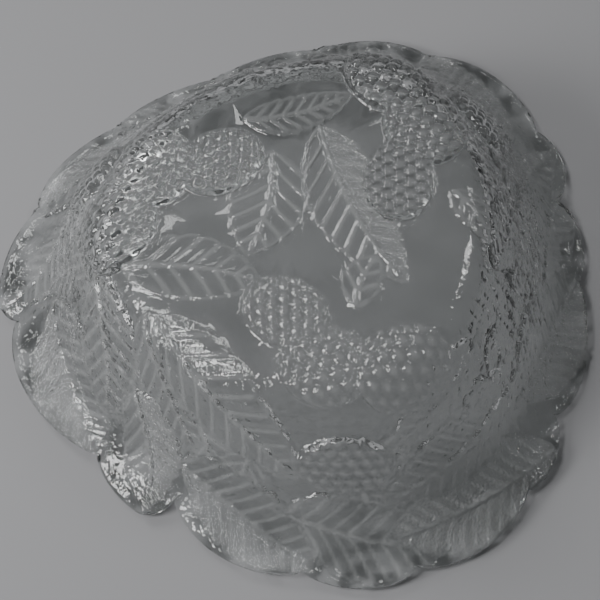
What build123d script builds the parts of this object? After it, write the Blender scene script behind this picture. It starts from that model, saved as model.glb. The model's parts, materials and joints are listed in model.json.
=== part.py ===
"""A three-sided pressed-glass bowl, stored rim down on the surface, with its foot uppermost.

One pressing of clear glass: a flat foot, a sloping wall that flares into a rim of leaf tips,
berries and leaf blades raised on the outside, and leaf veins sunk into the foot.
The origin is the middle of the rim's outline, on the surface. +Z points from rim to foot.
"""

import os
from math import cos, radians, sin, tan

from build123d import *

# Driving dimensions, in millimetres and degrees.
height = 64.0  # surface to foot
rim_radius = 115.0  # mean radius of the rim, between its tips and notches
three_sided = 0.061  # how far the rim swells at its three corners, as a share of its radius
first_corner = 49.4  # azimuth of the first of the three corners
wall_thickness = 4.0
foot_thickness = 5.0
wall_slope = 59.0  # wall against the surface that the bowl stands on
foot_shoulder = 16.0  # radius between foot and wall, outside
inner_shoulder = 12.0  # radius between foot and wall, inside
flare_radius = 34.0  # radius that turns the wall out into the rim
rim_slope = 14.0  # rim against the surface, at the rim radius
rim_seat = 0.5  # height of the glass's underside at the rim radius

leaf_relief = 1.1  # blades raised from the wall
vein_depth = 0.8  # veins and berry outlines sunk into the foot
vein_width = 1.5
berry_relief = 3.2  # berries raised from the wall

# Scallops round the rim: (notch azimuth, notch depth, tip azimuth, tip rise), where depth and
# rise are measured from the three-sided rim line.
scallops = [
    (13.5, 9.0, 24, 1.0),
    (31, 3.0, 47, 2.0),
    (59, 3.2, 71, 1.0),
    (83, 3.6, 95, 0.5),
    (107, 3.6, 121, 1.0),
    (131, 3.0, 145, 1.0),
    (156, 4.3, 175.5, 1.5),
    (181, 5.0, 195, 0.5),
    (215.5, 6.3, 229, 2.5),
    (235, 10.0, 251, 1.0),
    (263.5, 3.5, 276, 1.0),
    (284, 3.2, 297, 1.0),
    (308.5, 2.5, 315, 0.5),
    (324, 6.3, 338, 2.0),
    (354.5, 3.5, 362, 0.5),
]

# Places on the outside are given by azimuth and share: -1 to 0 runs round the shoulder from
# the foot's flat to the wall, and 0 to 1 runs down the wall to the rim radius.
# Leaves on the wall: (stem azimuth, stem share, tip azimuth, tip share, half width).
wall_leaves = [
    (222, 0.42, 230, 0.92, 11),
    (188, 0.70, 211, 0.84, 8),
    (240, 0.68, 259, 0.84, 8),
    (266, 0.74, 281, 0.86, 7),
    (302, 0.84, 288, 0.74, 7),
    (307, 0.70, 320, 0.84, 7),
    (327, 0.72, 350, 0.86, 8),
    (4, 0.46, 21, 0.86, 9),
    (36, 0.72, 55, 0.88, 8),
    (63, 0.72, 80, 0.86, 8),
    (87, 0.72, 104, 0.86, 8),
    (111, 0.72, 128, 0.86, 8),
    (135, 0.72, 152, 0.86, 8),
    (160, 0.46, 175, 0.90, 9),
]

# Leaves sunk into the foot: (stem azimuth, stem share, tip azimuth, tip share), as shares of
# the flat's radius.
foot_leaves = [
    (106, 0.50, 208, 0.42),
    (75, 0.62, 345, 0.30),
    (200, 0.86, 236, 0.46),
]
foot_pairs = 2  # pairs of side veins on each of them

# Berries: (azimuth, share, half length round the bowl, half width down it), and the outline
# of one that lies wholly on the foot, once for each third of the bowl.
wall_berries = [(268, -0.70, 16, 13), (296, -0.30, 17, 15), (274, 0.25, 18, 13)]
foot_berry_azimuth, foot_berry_radius, foot_berry_length, foot_berry_width = 256, 38, 16, 13
thirds = [0, 120, 240]

# The outside's mean profile: foot, shoulder, straight wall, flare, rim.
slope, end_slope = radians(wall_slope), radians(rim_slope)
rim_z = rim_seat + wall_thickness * cos(end_slope)
flare_r = rim_radius - flare_radius * (sin(slope) - sin(end_slope))  # where the flare begins
flare_z = rim_z + flare_radius * (cos(end_slope) - cos(slope))
corner_r = flare_r - (height - flare_z) / tan(slope)  # the wall's line at the foot's plane
foot_r = corner_r - foot_shoulder * tan(slope / 2)  # where the foot's flat ends
wall_r = foot_r + foot_shoulder * sin(slope)  # where the wall begins
above, beyond = 14.0, 40.0  # skin past the foot and past the rim, which is trimmed away


def around(radius, azimuth):
    """Plan offset from the axis of a mean radius and azimuth on the three-sided shape."""
    corner = cos(radians(3 * (azimuth - first_corner)))
    r = radius * (1 + three_sided * radius / rim_radius * corner)
    return (r * cos(radians(azimuth)), r * sin(radians(azimuth)))


# The rim's outline, a run of arcs from notch to tip to notch.
with BuildSketch() as rim:
    with BuildLine():
        for here, after in zip(scallops, scallops[1:] + scallops[:1]):
            notch, depth, tip, rise = here
            ThreePointArc(
                around(rim_radius - depth, notch),
                around(rim_radius + rise, tip),
                around(rim_radius - after[1], after[0]),
            )
    make_face()
# Where the axis stands, so that the origin is the middle of that outline.
axis = -rim.sketch.bounding_box().center()


def at(radius, azimuth):
    """Plan position of a mean radius and azimuth on the three-sided shape."""
    x, y = around(radius, azimuth)
    return (axis.X + x, axis.Y + y)


def place(share):
    """Mean radius, height and slope of the outside at a share."""
    if share <= 0:
        a = slope * (1 + share)
        return foot_r + foot_shoulder * sin(a), height - foot_shoulder * (1 - cos(a)), a
    r = wall_r + share * (rim_radius - wall_r)
    return r, flare_z + (flare_r - r) * tan(slope), slope


def skin(out, top, shoulder):
    """The solid under a skin that lies out from the wall, cut flat at top."""
    profile = [(corner_r - above, height + above * tan(slope), slope)]
    profile += [(r, flare_z + (flare_r - r) * tan(slope), slope) for r in (corner_r, wall_r)]
    for step in range(5):
        a = slope + (end_slope - slope) * step / 4
        r = flare_r + flare_radius * (sin(slope) - sin(a))
        profile.append((r, flare_z - flare_radius * (cos(a) - cos(slope)), a))
    profile.append((rim_radius + beyond, rim_z - beyond * tan(end_slope), end_slope))
    with BuildPart() as body:
        for r, z, a in profile:
            with BuildSketch(Plane.XY.offset(z + out * cos(a))):
                with BuildLine():
                    Spline(*[at(r + out * sin(a), 15 * i) for i in range(24)], periodic=True)
                make_face()
        loft()
        split(bisect_by=Plane.XY.offset(top), keep=Keep.BOTTOM)
        fillet(body.edges().group_by(Axis.Z)[-1], shoulder)
    return body.part


def strip(start, end, width):
    """A round-ended strip between two plan points, drawn into the sketch around it."""
    middle, run = (start + end) / 2, end - start
    with Locations((middle.X, middle.Y)):
        SlotCenterToCenter(run.length, width, rotation=Vector(1, 0, 0).get_signed_angle(run))


def leaf(stem, tip, half_width):
    """A raised blade, as a prism down through the glass, cut to the skin outside it."""
    stem, tip = Vector(*stem), Vector(*tip)
    along = tip - stem
    across = Vector(-along.Y, along.X).normalized() * half_width
    belly = stem + along * 0.45
    with BuildPart() as blade:
        with BuildSketch(Plane.XY.offset(-height)):
            with BuildLine():
                ThreePointArc(stem, belly + across, tip)
                ThreePointArc(tip, belly - across, stem)
            make_face()
        extrude(amount=3 * height)
        add(blade_skin, mode=Mode.INTERSECT)
    return blade.part


def berry(azimuth, share, half_length, half_width):
    """An oval dome standing berry_relief proud of the glass, its long axis level."""
    radius, z, a = place(share)
    cap = (half_width**2 + berry_relief**2) / (2 * berry_relief)  # half the whole oval's width
    long = cap * half_length / half_width
    with BuildPart() as oval:
        with BuildSketch():
            with BuildLine():
                EllipticalCenterArc((0, 0), long, cap, start_angle=0, arc_size=180)
                Line((-long, 0), (long, 0))
            make_face()
        revolve(axis=Axis.X)
    x, y = at(radius, azimuth)
    way = radians(azimuth)
    outward = Vector(sin(a) * cos(way), sin(a) * sin(way), cos(a))
    seat = Plane(origin=(x, y, z), x_dir=(-sin(way), cos(way), 0), z_dir=outward)
    return seat.offset(berry_relief - cap) * oval.part


blade_skin = skin(leaf_relief, height + leaf_relief, foot_shoulder)  # what blades rise to

with BuildPart() as veins:
    with BuildSketch(Plane.XY.offset(height - vein_depth)):
        for stem_azimuth, stem_share, tip_azimuth, tip_share in foot_leaves:
            stem = Vector(*at(foot_r * stem_share, stem_azimuth))
            along = Vector(*at(foot_r * tip_share, tip_azimuth)) - stem
            side = Vector(-along.Y, along.X) / 5
            strip(stem, stem + along, vein_width)
            for pair in range(foot_pairs):
                root = stem + along * (0.15 + 0.6 * pair / foot_pairs)
                for turn in (1, -1):
                    strip(root, root + along * 0.15 + side * turn, vein_width)
        for third in thirds:
            azimuth = foot_berry_azimuth + third
            with Locations(Location((*at(foot_berry_radius, azimuth), 0), azimuth + 90)):
                Ellipse(foot_berry_length + vein_width, foot_berry_width + vein_width)
                Ellipse(foot_berry_length, foot_berry_width, mode=Mode.SUBTRACT)
    extrude(amount=2 * vein_depth)

raised = []
for stem_azimuth, stem_share, tip_azimuth, tip_share, half_width in wall_leaves:
    stem, tip = at(place(stem_share)[0], stem_azimuth), at(place(tip_share)[0], tip_azimuth)
    raised.append(leaf(stem, tip, half_width))
for third in thirds:
    raised += [berry(azimuth + third, *shape) for azimuth, *shape in wall_berries]

with BuildPart() as bowl:
    add(skin(0, height, foot_shoulder))
    add(veins.part, mode=Mode.SUBTRACT)
    add(raised)
    split(bisect_by=Plane.XY.offset(height), keep=Keep.BOTTOM)
    add(skin(-wall_thickness, height - foot_thickness, inner_shoulder), mode=Mode.SUBTRACT)
    extrude(Location((axis.X, axis.Y, 0)) * rim.sketch, amount=2 * height, mode=Mode.INTERSECT)

bowl.part.label = "bowl"
os.makedirs("parts", exist_ok=True)
export_step(bowl.part, "parts/bowl.step")
print("three-fold axis at", axis.X, axis.Y, "foot radius", foot_r, "wall begins at", wall_r)
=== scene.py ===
import json
import math

import bmesh
import bpy
import numpy as np
from mathutils import Matrix, Vector


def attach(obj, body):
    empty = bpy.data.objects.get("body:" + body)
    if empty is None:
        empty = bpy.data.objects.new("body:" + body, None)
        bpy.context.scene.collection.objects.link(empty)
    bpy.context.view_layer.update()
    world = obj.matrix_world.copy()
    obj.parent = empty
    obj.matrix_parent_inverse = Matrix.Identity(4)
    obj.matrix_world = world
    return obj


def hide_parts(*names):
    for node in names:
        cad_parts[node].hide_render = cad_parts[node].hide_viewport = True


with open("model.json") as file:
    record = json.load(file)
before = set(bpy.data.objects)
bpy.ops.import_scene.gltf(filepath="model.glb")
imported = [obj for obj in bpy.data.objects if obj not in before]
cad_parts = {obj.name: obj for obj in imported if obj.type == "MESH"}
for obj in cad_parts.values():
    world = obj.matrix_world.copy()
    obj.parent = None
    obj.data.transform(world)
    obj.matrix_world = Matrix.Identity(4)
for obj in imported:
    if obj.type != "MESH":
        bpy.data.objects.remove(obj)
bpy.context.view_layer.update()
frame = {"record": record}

mm = 0.001
footSpot = [value / mm for value in frame["record"]["mounts"][0]["pos_m"]]  # on the three-fold axis

# The bowl's own form, in mm. Azimuths are degrees round the three-fold axis, 270 nearest the
# viewer. "Down" is the distance from the foot's centre along the outside, so the rim is at 144.
bowl = {
    "height": footSpot[2],
    "rimRadius": 115.0,
    "swell": 0.061,  # share by which the rim swells at its three corners
    "firstCorner": 49.4,
    "wallSlope": 59.0,
    "rimSlope": 14.0,
    "shoulder": 16.0,
    "flare": 34.0,
    "rimSeat": 0.5,
    "footGlass": 5.0,
    "wallGlass": 4.0,
    "rimGlass": 3.4,
    "turns": 720,  # vertices round the bowl before thinning
    "outsideStep": 0.8,
    "insideStep": 3.0,
    "edgeRows": 7,
    "stretchFrom": 104.0,  # distance down past which rows follow the scallops
    "triangles": 190000,
}

# Rim outline: notch azimuth, notch depth, tip azimuth, tip rise, measured from the rim radius.
scallops = [
    (13.5, 9.0, 24, 1.0), (31, 3.0, 47, 2.0), (59, 3.2, 71, 1.0), (83, 3.6, 95, 0.5),
    (107, 3.6, 121, 1.0), (131, 3.0, 145, 1.0), (156, 4.3, 175.5, 1.5), (181, 5.0, 195, 0.5),
    (215.5, 6.3, 229, 2.5), (235, 10.0, 251, 1.0), (263.5, 3.5, 276, 1.0), (284, 3.2, 297, 1.0),
    (308.5, 2.5, 315, 0.5), (324, 6.3, 338, 2.0), (354.5, 3.5, 362, 0.5),
]

# Leaves as (stem azimuth, stem down, tip azimuth, tip down, half width, bend, vein spacing,
# blade height, rib height, stipple: 0 none, 1 left half, 2 right half, 3 whole).
wallLeaves = [
    (318, 78, 286, 92, 12, 3, 6.0, 0.9, 0.9, 0),
    (198, 78, 168, 92, 12, 3, 6.0, 0.9, 0.9, 0),
    (78, 78, 48, 92, 12, 3, 6.0, 0.9, 0.9, 0),
    (340, 76, 12, 96, 13, -3, 6.0, 0.9, 0.9, 0),
    (100, 76, 130, 96, 13, -3, 6.0, 0.9, 0.9, 0),
    (350, 118, 16, 141, 17, 2, 6.5, 1.1, 0.9, 0),
    (320, 118, 356, 141, 20, -4, 7.0, 1.2, 0.9, 2),
    (4, 94, 25, 144, 17, 3, 7.0, 1.1, 1.0, 1),
    (28, 118, 60, 141, 19, 3, 7.0, 1.2, 0.9, 2),
    (56, 118, 85, 141, 18, 2, 6.5, 1.1, 0.9, 0),
    (80, 118, 109, 140, 18, 2, 6.5, 1.1, 0.9, 1),
    (104, 118, 133, 141, 18, 2, 6.5, 1.1, 0.9, 0),
    (128, 116, 158, 141, 19, 2, 7.0, 1.1, 0.9, 2),
    (150, 92, 178, 146, 17, 4, 7.0, 1.2, 1.0, 0),
    (182, 114, 217, 140, 20, -5, 7.5, 1.3, 1.0, 2),
    (260, 120, 290, 140, 18, -3, 7.0, 1.1, 0.9, 0),
    (234, 116, 267, 141, 19, -4, 7.0, 1.3, 1.0, 2),
    (318, 143, 280, 130, 18, 3, 6.5, 1.2, 0.9, 3),
    (324, 108, 281, 114, 16, 5, 7.5, 1.2, 1.1, 0),
    (188, 78, 212, 122, 18, 4, 7.5, 1.1, 1.1, 0),
    (208, 66, 238, 108, 14, -3, 7.0, 1.0, 1.1, 0),
    (212, 64, 264, 102, 17, -5, 8.5, 1.4, 1.1, 0),
    (217, 98, 231, 147, 17, 2, 7.5, 1.6, 1.2, 1),
]

# Small leaves between the foot and the rim leaves, which fill the wall all the way round.
fillLeaves = {"count": 20, "start": 84, "end": 122, "lean": 9, "half": 11, "spacing": 5.5,
              "blade": 0.8, "rib": 0.8}

# Leaves of the foot, the same way: low blades, so that mostly their veins show.
footLeaves = [
    (106, 30, 214, 25, 15, 3, 7.0, 0.25, 0.6, 0),
    (75, 38, 318, 46, 15, -4, 7.0, 0.3, 0.7, 1),
    (191, 66, 238, 30, 14, 3, 8.0, 0.4, 0.7, 0),
    (292, 40, 325, 32, 8, 2, 6.0, 0.35, 0.6, 0),
    (113, 48, 64, 54, 9, -3, 5.0, 0.3, 0.6, 0),
    (5, 56, 345, 72, 7, 2, 6.0, 0.3, 0.6, 0),
]

# Berries of one third: azimuth, down, half length, half width, turn of the long axis, dome.
berryGroup = [
    (256, 38, 17, 14, 20, 1.6),
    (273, 57, 17, 14.5, -10, 2.4),
    (296, 67, 18.5, 16, 25, 3.0),
    (274, 96, 17.5, 12.5, 5, 2.8),
]
bead = {"pitch": 5.1, "radius": 2.75, "height": 1.9}

# Fine grasses pressed down the wall: each run's share of the depth, its number round the bowl,
# and the length over which it wavers.
grasses = {"depth": 0.34, "from": 66, "to": 140,
           "runs": [(0.5, 96, 12.0), (0.3, 158, 7.0), (0.2, 263, 5.0)]}

# The mean profile, by distance down: flat foot, shoulder, straight wall, flare, rim.
wallAngle, rimAngle = math.radians(bowl["wallSlope"]), math.radians(bowl["rimSlope"])
rimZ = bowl["rimSeat"] + bowl["wallGlass"] * math.cos(rimAngle)
flareR = bowl["rimRadius"] - bowl["flare"] * (math.sin(wallAngle) - math.sin(rimAngle))
flareZ = rimZ + bowl["flare"] * (math.cos(rimAngle) - math.cos(wallAngle))
footR = (flareR - (bowl["height"] - flareZ) / math.tan(wallAngle)
         - bowl["shoulder"] * math.tan(wallAngle / 2))
wallR = footR + bowl["shoulder"] * math.sin(wallAngle)
wallStart = footR + bowl["shoulder"] * wallAngle  # distances down where each stretch begins
flareStart = wallStart + (flareR - wallR) / math.cos(wallAngle)
rimStart = flareStart + bowl["flare"] * (wallAngle - rimAngle)


def meanSkin(down):
    # radius, height and slope of the plain outside at distances down
    angle = np.where(down < wallStart, (down - footR) / bowl["shoulder"],
                     wallAngle - (down - flareStart) / bowl["flare"])
    angle = np.clip(angle, 0, wallAngle)
    angle = np.where(down < footR, 0, np.where(down > rimStart, rimAngle, angle))
    shoulderR = footR + bowl["shoulder"] * np.sin(angle)
    shoulderZ = bowl["height"] - bowl["shoulder"] * (1 - np.cos(angle))
    along = down - wallStart
    wallLineR = wallR + along * math.cos(wallAngle)
    wallLineZ = flareZ + (flareStart - down) * math.sin(wallAngle)
    flareLineR = flareR + bowl["flare"] * (math.sin(wallAngle) - np.sin(angle))
    flareLineZ = flareZ - bowl["flare"] * (np.cos(angle) - math.cos(wallAngle))
    past = np.maximum(down - rimStart, 0)
    radius = np.where(down < footR, down, np.where(down < wallStart, shoulderR,
                      np.where(down < flareStart, wallLineR, flareLineR)))
    radius = radius + past * math.cos(rimAngle)
    height = np.where(down < footR, bowl["height"], np.where(down < wallStart, shoulderZ,
                      np.where(down < flareStart, wallLineZ, flareLineZ)))
    height = height - past * math.sin(rimAngle)
    return radius, height, angle


def rimDown(azimuth):
    # distance down at which the scalloped rim lies, each scallop a smooth lobe
    edge = np.zeros_like(azimuth)
    for (notch, depth, tip, rise), after in zip(scallops, scallops[1:] + scallops[:1]):
        span = (after[0] - notch) % 360
        turn = (azimuth - notch) % 360
        inside = turn < span
        share = turn / span
        lean = ((tip - notch) % 360) / span  # where the tip stands within its scallop
        share = np.where(share < lean, 0.5 * share / lean, 0.5 + 0.5 * (share - lean) / (1 - lean))
        lobe = np.sin(np.pi * np.clip(share, 0, 1)) ** 0.62
        low = np.where(share < 0.5, -depth, -after[1])
        edge = np.where(inside, low + (rise - low) * lobe, edge)
    table = np.linspace(60, rimStart + 20, 800)
    return np.interp(bowl["rimRadius"] + edge, meanSkin(table)[0], table)


def smoothStep(value):
    value = np.clip(value, 0, 1)
    return value * value * (3 - 2 * value)


def chart(azimuth, down):
    # flat chart of the outside in which leaves and berries are laid out
    way = np.radians(azimuth)
    return down * np.cos(way), down * np.sin(way)


def blend(layer, near, mask, value):
    layer[near] = layer[near] * (1 - mask) + value * mask


def layLeaf(layers, azimuth, down, leaf):
    stemAz, stemDown, tipAz, tipDown, half, bend, spacing, blade, rib, side = leaf
    x, y = chart(azimuth, down)
    stemX, stemY = chart(np.float64(stemAz), stemDown)
    tipX, tipY = chart(np.float64(tipAz), tipDown)
    length = math.hypot(tipX - stemX, tipY - stemY)
    alongX, alongY = (tipX - stemX) / length, (tipY - stemY) / length
    t = ((x - stemX) * alongX + (y - stemY) * alongY) / length
    across = -(x - stemX) * alongY + (y - stemY) * alongX - bend * 4 * t * (1 - t)
    near = (t > -0.05) & (t < 1.05) & (np.abs(across) < half * 1.4)
    t, w = t[near], across[near]
    off = np.abs(w)
    outline = np.clip(t, 0, 1) ** 0.62 * np.clip(1 - t, 0, 1) ** 0.78 / 0.385
    phase = (t * length - off * 0.95 + 0.012 * off ** 2) / spacing  # veins lean to the tip
    cell = phase - np.floor(phase)  # from one vein to the next
    lobe = np.sin(np.pi * cell) ** 0.6 * (0.75 + 0.5 * cell)
    inside = half * outline * (0.93 + 0.1 * lobe) - 0.2 - off
    mask = smoothStep(inside / 0.9)
    offVein = np.abs(phase - np.round(phase)) * spacing * 0.72
    fade = smoothStep(inside / 2.5) * smoothStep((0.98 - t) / 0.1) * smoothStep(t / 0.05)
    veins = rib * 1.1 * np.exp(-(offVein / 0.7) ** 2) * fade
    midrib = rib * 1.15 * np.exp(-(off / (1.05 - 0.45 * t)) ** 2) * smoothStep((1 - t) / 0.12)
    margin = rib * 0.75 * np.exp(-((inside - 1.1) / 0.65) ** 2)
    quilt = blade * 0.8 * np.sin(np.pi * cell) * fade
    body = blade * (0.5 + 0.6 * np.clip(1 - off / half, 0, 1))
    lines = np.maximum(margin, np.maximum(veins, midrib))
    blend(layers["relief"], near, mask, body + quilt + lines)
    blend(layers["ridge"], near, mask, np.clip(lines / rib, 0, 1))
    grain = {0: 0 * w, 1: smoothStep(w / 1.5), 2: smoothStep(-w / 1.5), 3: 0 * w + 1}[side]
    grain = grain * smoothStep((inside - 1.4) / 0.8) * smoothStep((off - 0.9) / 0.6)
    blend(layers["stipple"], near, mask, grain)


def layBerry(layers, azimuth, down, berry, third):
    spotAz, spotDown, long, short, turn, dome = berry
    x, y = chart(azimuth, down)
    spotX, spotY = chart(np.float64(spotAz + third), spotDown)
    way = math.radians(spotAz + third)
    squeeze = float(meanSkin(np.array([float(spotDown)]))[0][0]) / spotDown
    level = (-(x - spotX) * math.sin(way) + (y - spotY) * math.cos(way)) * squeeze
    out = (x - spotX) * math.cos(way) + (y - spotY) * math.sin(way)
    turned = math.radians(turn)
    u = level * math.cos(turned) + out * math.sin(turned)
    v = -level * math.sin(turned) + out * math.cos(turned)
    near = (np.abs(u) < long * 1.3) & (np.abs(v) < short * 1.3)
    u, v = u[near], v[near]
    rho = np.hypot(u / long, v / short)
    mask = smoothStep((1.0 - rho) * short / 1.6)
    round_ = dome * np.sqrt(np.clip(1 - (rho * 0.96) ** 2, 0, 1)) + 0.4
    # beads in a hexagonal packing, closer together towards the berry's edge
    spread = 1 + 0.16 * rho ** 2
    bu, bv = u * spread, v * spread
    rowStep = bead["pitch"] * math.sqrt(3) / 2
    best = np.full_like(u, 99.0)
    rowBase = np.floor(bv / rowStep)
    for dRow in (0, 1):
        row = rowBase + dRow
        shift = (row % 2) * bead["pitch"] / 2
        column = np.round((bu - shift) / bead["pitch"])
        d = np.hypot(bu - shift - column * bead["pitch"], bv - row * rowStep)
        best = np.minimum(best, d)
    beads = bead["height"] * np.sqrt(np.clip(1 - (best / bead["radius"]) ** 2, 0, 1))
    blend(layers["relief"], near, mask, round_ + beads)
    blend(layers["ridge"], near, mask, 0.8 * smoothStep(1.2 - best / bead["radius"] * 1.5))
    blend(layers["stipple"], near, mask, 0)
    blend(layers["rough"], near, mask, 0.06)  # beads are polished


def layRelief(azimuth, down):
    # the pattern's height over the plain outside, and where it is stippled, ridged and uneven
    way = np.radians(azimuth)
    waves = sum(share * np.sin(count * way + 1.6 * np.sin(down / wave + 3 * way))
                for share, count, wave in grasses["runs"])
    onWall = smoothStep((down - grasses["from"]) / 10) * smoothStep((grasses["to"] - down) / 12)
    streaks = grasses["depth"] * (1 + waves) * onWall
    layers = {"relief": streaks, "stipple": np.zeros_like(down), "ridge": np.zeros_like(down),
              "rough": 0.12 + 0.88 * smoothStep((down - 58) / 16)}
    step = 360 / fillLeaves["count"]
    for index in range(fillLeaves["count"]):
        stem, lean = index * step, fillLeaves["lean"] * (1 if index % 2 else -0.6)
        leaf = (stem, fillLeaves["start"] + 3 * (index % 3), stem + lean, fillLeaves["end"],
                fillLeaves["half"], 2, fillLeaves["spacing"], fillLeaves["blade"], fillLeaves["rib"], 0)
        layLeaf(layers, azimuth, down, leaf)
    for leaf in wallLeaves + footLeaves:
        layLeaf(layers, azimuth, down, leaf)
    for third in (120, -120, 0):
        for berry in berryGroup:
            layBerry(layers, azimuth, down, berry, third)
    return layers


def makeBowlMesh():
    # one closed profile, spun: outside from the foot's centre, round the rim, back inside
    outsideRows = np.arange(0, rimStart, bowl["outsideStep"])
    edgeTurns = np.linspace(0, 1, bowl["edgeRows"])
    insideRows = np.arange(rimStart - bowl["insideStep"], 0, -bowl["insideStep"])
    track = [(down, 0.0) for down in outsideRows] + [(rimStart, turn) for turn in edgeTurns]
    track += [(down, 1.0) for down in insideRows] + [(0.0, 1.0)]
    mesh = bmesh.new()
    downLayer = mesh.verts.layers.float.new("down")
    sideLayer = mesh.verts.layers.float.new("side")
    points = []
    for down, side in track:
        radius, height, angle = [float(v) for v in meanSkin(np.float64(down))]
        point = mesh.verts.new(((radius - side * 2 * math.sin(angle)) * (down > 0) * mm, 0,
                                (height - side * 4) * mm))
        point[downLayer], point[sideLayer] = down, side
        points.append(point)
    edges = [mesh.edges.new(pair) for pair in zip(points, points[1:])]
    bmesh.ops.spin(mesh, geom=points + edges, cent=(0, 0, 0), axis=(0, 0, 1),
                   angle=2 * math.pi, steps=bowl["turns"], use_merge=True)
    bmesh.ops.remove_doubles(mesh, verts=mesh.verts[:], dist=1e-7)
    bmesh.ops.recalc_face_normals(mesh, faces=mesh.faces[:])
    return mesh


def shapeBowl(mesh):
    data = bpy.data.meshes.new("bowlGlass")
    mesh.to_mesh(data)
    mesh.free()
    count = len(data.vertices)
    place, down, side = np.empty(count * 3), np.empty(count), np.empty(count)
    data.vertices.foreach_get("co", place)
    data.attributes["down"].data.foreach_get("value", down)
    data.attributes["side"].data.foreach_get("value", side)
    place = place.reshape(-1, 3)
    azimuth = np.degrees(np.arctan2(place[:, 1], place[:, 0])) % 360
    # rows near the rim stretch or shrink to meet its scallops
    edge = rimDown(azimuth)
    share = np.clip((down - bowl["stretchFrom"]) / (rimStart - bowl["stretchFrom"]), 0, 1)
    down = down + share * (edge - rimStart)
    radius, height, angle = meanSkin(down)
    layers = layRelief(azimuth, down)
    relief = layers["relief"]
    # the glass thins from foot to wall over 20 mm, and again towards the rim over 30 mm
    toWall, toRim = smoothStep((down - footR) / 20), smoothStep((down - 110) / 30)
    glass = bowl["footGlass"] + (bowl["wallGlass"] - bowl["footGlass"]) * toWall
    glass = glass + (bowl["rimGlass"] - bowl["wallGlass"]) * toRim
    turn = np.pi * side
    inward = np.where(side == 0, relief, -glass / 2 * (1 - np.cos(turn)) + relief * (1 - side) ** 2)
    outward = glass / 2 * np.sin(turn)  # the rim's rounding, past its edge
    radius = radius + inward * np.sin(angle) + outward * np.cos(angle)
    height = height + inward * np.cos(angle) - outward * np.sin(angle)
    corner = np.cos(np.radians(3 * (azimuth - bowl["firstCorner"])))
    radius = radius * (1 + bowl["swell"] * radius / bowl["rimRadius"] * corner)
    way = np.radians(azimuth)
    place[:, 0] = (footSpot[0] + radius * np.cos(way)) * mm
    place[:, 1] = (footSpot[1] + radius * np.sin(way)) * mm
    place[:, 2] = np.maximum(height, 0.0) * mm
    data.vertices.foreach_set("co", place.ravel())
    for name, values in (("stipple", layers["stipple"] * (side == 0)),
                         ("ridge", layers["ridge"] * (side == 0)), ("rough", layers["rough"])):
        data.attributes.new(name, "FLOAT", "POINT").data.foreach_set("value", values)
    data.update()
    return data


def finishBowl(data):
    piece = bpy.data.objects.new("bowlGlass", data)
    bpy.context.collection.objects.link(piece)
    triangles = sum(len(face.vertices) - 2 for face in data.polygons)
    print("bowl before thinning:", triangles, "triangles")
    thin = piece.modifiers.new("thin", "DECIMATE")
    thin.ratio = bowl["triangles"] / triangles
    graph = bpy.context.evaluated_depsgraph_get()
    thinned = bpy.data.meshes.new_from_object(piece.evaluated_get(graph))
    piece.modifiers.clear()
    piece.data = thinned
    bpy.data.meshes.remove(data)
    thinned.name = "bowlGlass"
    thinned.shade_smooth()
    print("bowl:", sum(len(face.vertices) - 2 for face in thinned.polygons), "triangles")
    return piece


def linear(hexColour):
    channels = [int(hexColour[i:i + 2], 16) / 255 for i in (1, 3, 5)]
    return [c / 12.92 if c <= 0.04045 else ((c + 0.055) / 1.055) ** 2.4 for c in channels] + [1]


def addNode(tree, kind, settings=(), inputs=(), links=()):
    # a node with its settings, its inputs' values, and the sockets that feed it
    node = tree.nodes.new(kind)
    for name, value in dict(settings).items():
        setattr(node, name, value)
    for name, value in dict(inputs).items():
        node.inputs[name].default_value = value
    for name, socket in dict(links).items():
        tree.links.new(socket, node.inputs[name])
    return node


def newMaterial(name):
    material = bpy.data.materials.new(name)
    material.use_nodes = True
    material.node_tree.nodes.clear()
    return material


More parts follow.
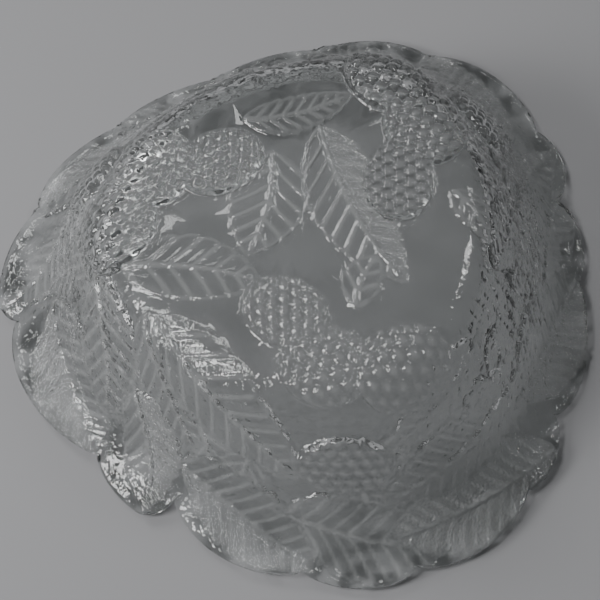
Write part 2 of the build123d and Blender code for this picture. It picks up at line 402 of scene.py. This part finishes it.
def pressedGlass():
    # soda-lime glass, pressed and fire polished: clear, bright edges, a trace of green-grey
    material = newMaterial("pressedSodaLimeGlass")
    tree = material.node_tree
    spot = addNode(tree, "ShaderNodeTexCoord").outputs["Object"]
    mask = addNode(tree, "ShaderNodeAttribute", {"attribute_name": "stipple"}).outputs["Fac"]
    ridge = addNode(tree, "ShaderNodeAttribute", {"attribute_name": "ridge"}).outputs["Fac"]
    # stipple points stand 0.95 mm apart, as punched into the mould
    grain = addNode(tree, "ShaderNodeTexVoronoi", {"feature": "SMOOTH_F1"},
                    {"Scale": 1 / (0.95 * mm), "Smoothness": 0.35}, {"Vector": spot})
    dots = addNode(tree, "ShaderNodeMath", {"operation": "MULTIPLY"}, {},
                   {0: grain.outputs["Distance"], 1: mask})
    # the mould's skin leaves a slow unevenness of about 9 mm in the polished glass
    skin = addNode(tree, "ShaderNodeTexNoise", {}, {"Scale": 1 / (9 * mm), "Detail": 3.0},
                   {"Vector": spot})
    # the wall is more uneven than the foot and the beads, and its fine texture repeats about every 3 mm
    wall = addNode(tree, "ShaderNodeAttribute", {"attribute_name": "rough"})
    slow = addNode(tree, "ShaderNodeBump", {}, {"Distance": 1.1 * mm},
                   {"Height": skin.outputs["Fac"], "Strength": wall.outputs["Fac"]})
    fine = addNode(tree, "ShaderNodeTexNoise", {}, {"Scale": 1 / (3 * mm), "Detail": 1.0},
                   {"Vector": spot})
    leafy = addNode(tree, "ShaderNodeBump", {}, {"Distance": 0.45 * mm},
                    {"Height": fine.outputs["Fac"], "Strength": wall.outputs["Fac"],
                     "Normal": slow.outputs["Normal"]})
    bump = addNode(tree, "ShaderNodeBump", {"invert": True}, {"Strength": 1.0, "Distance": 0.9 * mm},
                   {"Height": dots.outputs[0], "Normal": leafy.outputs["Normal"]})
    glass = addNode(tree, "ShaderNodeBsdfPrincipled", {},
                    {"Base Color": linear("#FDFFFE"), "Roughness": 0.025, "IOR": 1.52,
                     "Transmission Weight": 1.0}, {"Normal": bump.outputs["Normal"]})
    # painted highlight: a slight white diffuse layer on ribs, bead crests and stipple stands in for the
    # light they gather, with a faint even share over all the glass
    edges = addNode(tree, "ShaderNodeMath", {"operation": "MULTIPLY_ADD"}, {1: 0.1, 2: 0.02}, {0: ridge})
    paintedHighlightShare = addNode(tree, "ShaderNodeMath", {"operation": "MULTIPLY_ADD"}, {1: 0.06},
                      {0: mask, 2: edges.outputs[0]})
    # the painted highlight's white, mixed into the glass by the share above
    paintedHighlight = addNode(tree, "ShaderNodeBsdfDiffuse", {}, {"Color": linear("#F3F5F5")},
                   {"Normal": bump.outputs["Normal"]})
    surface = addNode(tree, "ShaderNodeMixShader", {}, {},
                      {0: paintedHighlightShare.outputs[0], 1: glass.outputs[0], 2: paintedHighlight.outputs[0]})
    # in place of caustics, flanks, ridges and uneven places dim the lamps' light on the floor below
    tilt = addNode(tree, "ShaderNodeLayerWeight", {}, {"Blend": 0.5})
    passed = addNode(tree, "ShaderNodeMapRange", {"interpolation_type": "SMOOTHSTEP"},
                     {"From Min": 0.25, "From Max": 0.85, "To Min": 0.0, "To Max": 0.6},
                     {"Value": tilt.outputs["Facing"]})
    pools = addNode(tree, "ShaderNodeMapRange", {"interpolation_type": "SMOOTHSTEP"},
                    {"From Min": 0.42, "From Max": 0.6, "To Min": 0.0, "To Max": 0.75},
                    {"Value": skin.outputs["Fac"]})
    lost = addNode(tree, "ShaderNodeMath", {"operation": "ADD"}, {},
                   {0: passed.outputs[0], 1: pools.outputs[0]})
    bent = addNode(tree, "ShaderNodeMath", {"operation": "MULTIPLY_ADD", "use_clamp": True}, {1: 0.5},
                   {0: ridge, 2: lost.outputs[0]})
    shade = addNode(tree, "ShaderNodeMix", {"data_type": "RGBA"},
                    {"A": linear("#FFFFFF"), "B": linear("#747877")}, {"Factor": bent.outputs[0]})
    lamps = addNode(tree, "ShaderNodeBsdfTransparent", {}, {}, {"Color": shade.outputs["Result"]})
    # lamps reach the floor straight through the glass, and the floor sees them the same way
    path = addNode(tree, "ShaderNodeLightPath")
    through = addNode(tree, "ShaderNodeMath", {"operation": "MAXIMUM"}, {},
                      {0: path.outputs["Is Shadow Ray"], 1: path.outputs["Is Diffuse Ray"]})
    mix = addNode(tree, "ShaderNodeMixShader", {}, {},
                  {0: through.outputs[0], 1: surface.outputs[0], 2: lamps.outputs[0]})
    depth = addNode(tree, "ShaderNodeVolumeAbsorption", {},
                    {"Color": linear("#DADEDC"), "Density": 4.0})
    addNode(tree, "ShaderNodeOutputMaterial", {}, {},
            {"Surface": mix.outputs[0], "Volume": depth.outputs[0]})
    return material


def plainFloor():
    material = newMaterial("paleMattFloor")
    tree = material.node_tree
    shader = addNode(tree, "ShaderNodeBsdfPrincipled", {},
                     {"Base Color": linear("#9C9C9E"), "Roughness": 0.9, "Specular IOR Level": 0.2})
    addNode(tree, "ShaderNodeOutputMaterial", {}, {}, {"Surface": shader.outputs[0]})
    mesh = bmesh.new()
    bmesh.ops.create_grid(mesh, x_segments=1, y_segments=1, size=1.6)
    data = bpy.data.meshes.new("floor")
    mesh.to_mesh(data)
    mesh.free()
    data.materials.append(material)
    floor = bpy.data.objects.new("floor", data)
    floor.location.z = -0.4 * mm  # just clear of the rim
    bpy.context.collection.objects.link(floor)


# The studio: a soft window on the left, a weak fill above, a small
# far lamp that sparkles in the relief, and a dim grey room.
studio = {
    "lamps": [
        ("leftWindow", 10.0, 0.45, (-1.0, -0.25, 0.75)),
        ("highWindow", 5.5, 0.3, (-0.55, -0.1, 1.15)),
        ("topFill", 5.0, 0.45, (-0.55, 0.75, 1.0)),
        ("farLamp", 1.2, 0.2, (0.75, 0.35, 1.0)),
    ],
    "room": 0.06,
}


def addLamp(name, watts, size, place, aim=(0, 0, 0.03)):
    lamp = bpy.data.lights.new(name, "AREA")
    lamp.energy, lamp.shape, lamp.size = watts, "SQUARE", size
    holder = bpy.data.objects.new(name, lamp)
    holder.location = place
    holder.rotation_euler = (Vector(aim) - Vector(place)).to_track_quat("-Z", "Y").to_euler()
    bpy.context.collection.objects.link(holder)


def lightRoom():
    for name, watts, size, place in studio["lamps"]:
        addLamp(name, watts, size, place)
    world = bpy.data.worlds.new("room")
    world.use_nodes = True
    world.node_tree.nodes["Background"].inputs["Strength"].default_value = studio["room"]
    world.node_tree.nodes["Background"].inputs["Color"].default_value = linear("#F4F6FA")
    bpy.context.scene.world = world


# The camera looks down at 65 degrees from the -Y side, turned a little about its own axis.
view = {"elevation": 65.0, "roll": -5.8, "distance": 575.0, "aimHeight": 2.5,
        "focal": 86.6, "shiftX": -0.015, "shiftY": -0.0188}


def placeCamera():
    elevation, roll = math.radians(view["elevation"]), math.radians(view["roll"])
    back = Vector((0, -math.cos(elevation), math.sin(elevation)))
    right = Vector((1, 0, 0))
    up = back.cross(right)
    turnedRight = right * math.cos(roll) + up * math.sin(roll)
    turnedUp = -right * math.sin(roll) + up * math.cos(roll)
    aim = Vector((footSpot[0], footSpot[1], view["aimHeight"])) * mm
    lens = bpy.data.cameras.new("camera")
    lens.lens, lens.sensor_width = view["focal"], 36
    lens.shift_x, lens.shift_y = view["shiftX"], view["shiftY"]
    lens.clip_start = 0.01
    camera = bpy.data.objects.new("camera", lens)
    turn = Matrix((turnedRight, turnedUp, back)).transposed().to_4x4()
    camera.matrix_world = Matrix.Translation(aim + back * view["distance"] * mm) @ turn
    bpy.context.collection.objects.link(camera)
    bpy.context.scene.camera = camera


placeCamera()
lightRoom()
plainFloor()
print("studio ready")

bowlGlass = finishBowl(shapeBowl(makeBowlMesh()))
bowlGlass.data.materials.clear()
bowlGlass.data.materials.append(pressedGlass())
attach(bowlGlass, "root")
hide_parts("bowl")
print("bowl ready")
